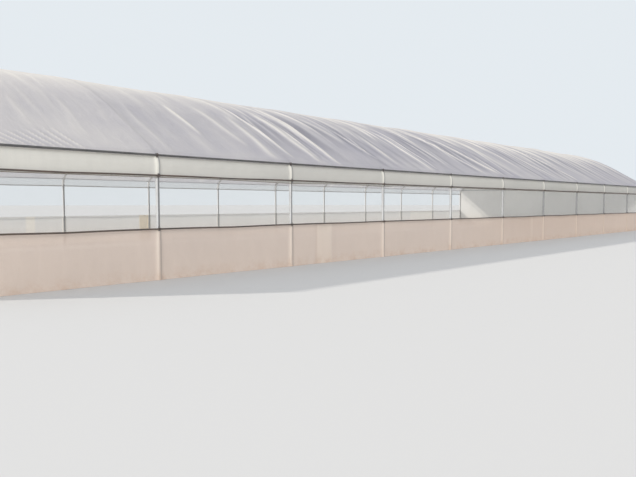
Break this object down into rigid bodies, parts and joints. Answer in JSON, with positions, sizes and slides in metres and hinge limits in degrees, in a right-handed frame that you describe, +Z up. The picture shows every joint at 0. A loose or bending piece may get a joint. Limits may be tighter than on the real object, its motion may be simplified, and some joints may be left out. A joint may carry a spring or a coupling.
{
  "type": "polytunnel greenhouse",
  "caption": "Long walk-in polytunnel with steel hoops, a film roof, film skirts and open netted bands along both sides, film ends and a double door at one end.",
  "frame": {"origin": "on the ground, at the middle of the plan", "axes": "+X along the tunnel, away from the entrance end; +Y across it, from the pictured side to the far side; +Z up"},
  "size_m": [30.0688, 10.3298, 3.9521],
  "materials": {
    "hoop_steel": "satin",
    "rail_steel": "satin",
    "roof_film": "satin",
    "skirt_film": "satin",
    "end_film": "satin",
    "net": "matte"
  },
  "bodies": {
    "root": {"near_legs": "hoop_steel", "far_legs": "hoop_steel", "near_bows": "hoop_steel", "far_bows": "hoop_steel", "ridge_purlin": "hoop_steel", "near_purlin": "hoop_steel", "far_purlin": "hoop_steel", "purlin_plates": "hoop_steel", "near_eave_rail": "rail_steel", "far_eave_rail": "rail_steel", "near_curtain_rail": "rail_steel", "far_curtain_rail": "rail_steel", "near_skirt_rail": "rail_steel", "far_skirt_rail": "rail_steel", "near_rail_clips": "rail_steel", "far_rail_clips": "rail_steel", "near_skirt_film": "skirt_film", "far_skirt_film": "skirt_film", "near_skirt_lap": "skirt_film", "near_insect_net": "net", "far_insect_net": "net", "near_upper_film": "roof_film", "far_upper_film": "roof_film", "roof_film": "roof_film", "right_end_rail": "hoop_steel", "right_gable_studs": "hoop_steel", "left_door_posts": "hoop_steel", "left_end_rails": "hoop_steel", "left_door_header": "hoop_steel", "right_end_film": "end_film", "left_gable_film": "end_film", "left_end_film_near": "end_film", "left_end_film_far": "end_film", "near_door_leaf": "hoop_steel", "far_door_leaf": "hoop_steel", "near_door_film": "end_film", "far_door_film": "end_film", "door_hinges": "rail_steel", "door_bolt": "rail_steel"}
  },
  "joints": []
}
